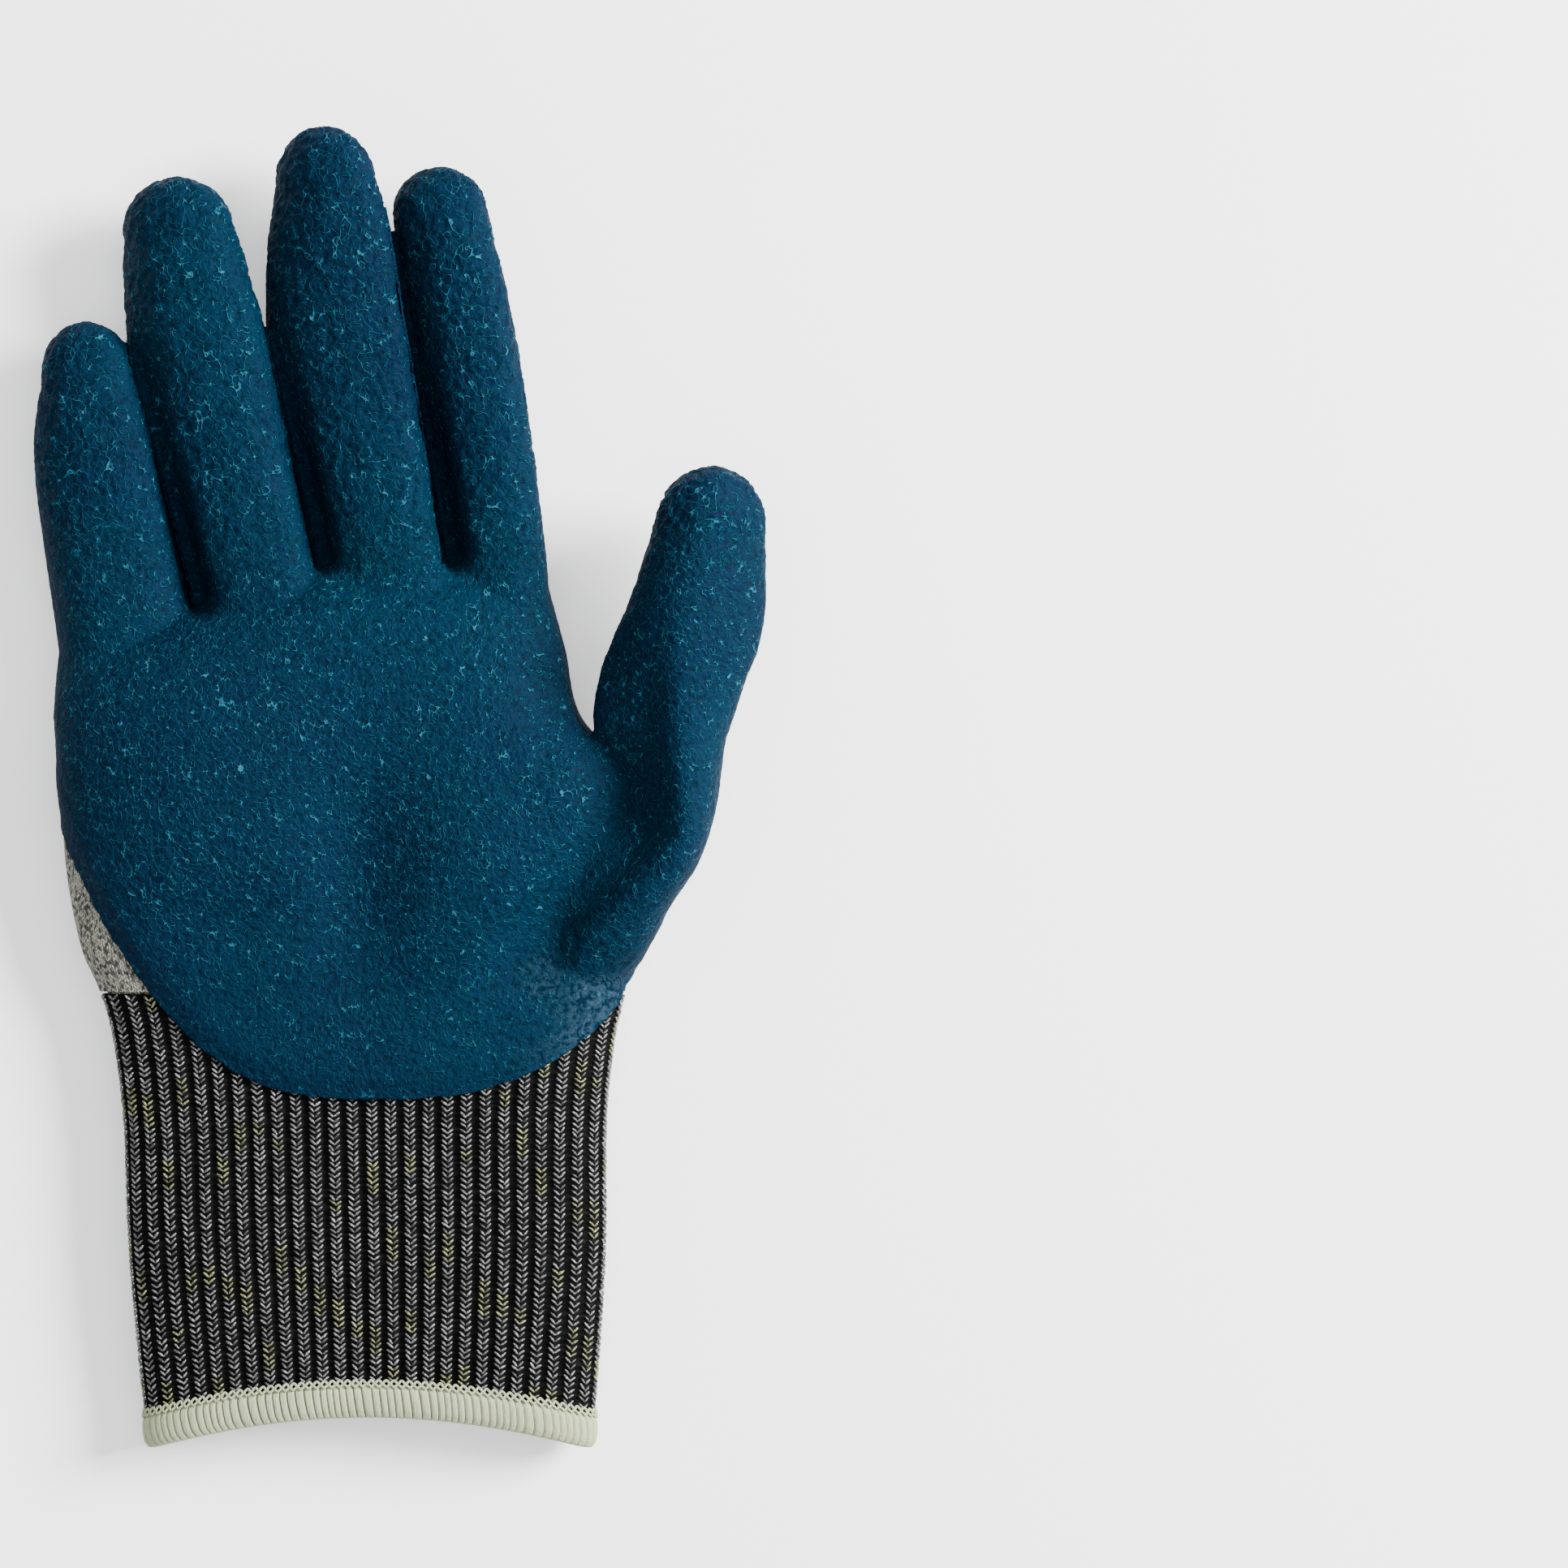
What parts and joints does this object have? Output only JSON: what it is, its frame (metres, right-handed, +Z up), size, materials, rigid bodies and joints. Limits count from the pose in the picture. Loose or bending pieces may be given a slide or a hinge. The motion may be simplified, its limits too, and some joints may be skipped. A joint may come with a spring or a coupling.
{
  "type": "latex coated grip glove",
  "caption": "Right-hand knitted work glove with a ribbed cuff and a crinkled latex coating on palm, fingers and tips, lying palm up.",
  "frame": {"origin": "on the surface that the glove lies on, under the middle of its bounding box", "axes": "+Y from the cuff to the fingertips, +X across to the thumb's side, +Z up out of the palm"},
  "size_m": [0.1386, 0.25, 0.0296],
  "materials": {
    "liner_knit": "fine heather grey jersey knit",
    "rib_knit": "black rib knit with marled light grey ribs",
    "hem_thread": "close overlock thread",
    "latex": "crinkled matte dipped latex"
  },
  "bodies": {
    "root": {"palm_liner": "liner_knit", "index_liner": "liner_knit", "middle_liner": "liner_knit", "ring_liner": "liner_knit", "little_liner": "liner_knit", "thumb_liner": "liner_knit", "rib_cuff": "rib_knit", "cuff_hem": "hem_thread", "latex_skin": "latex"}
  },
  "joints": []
}
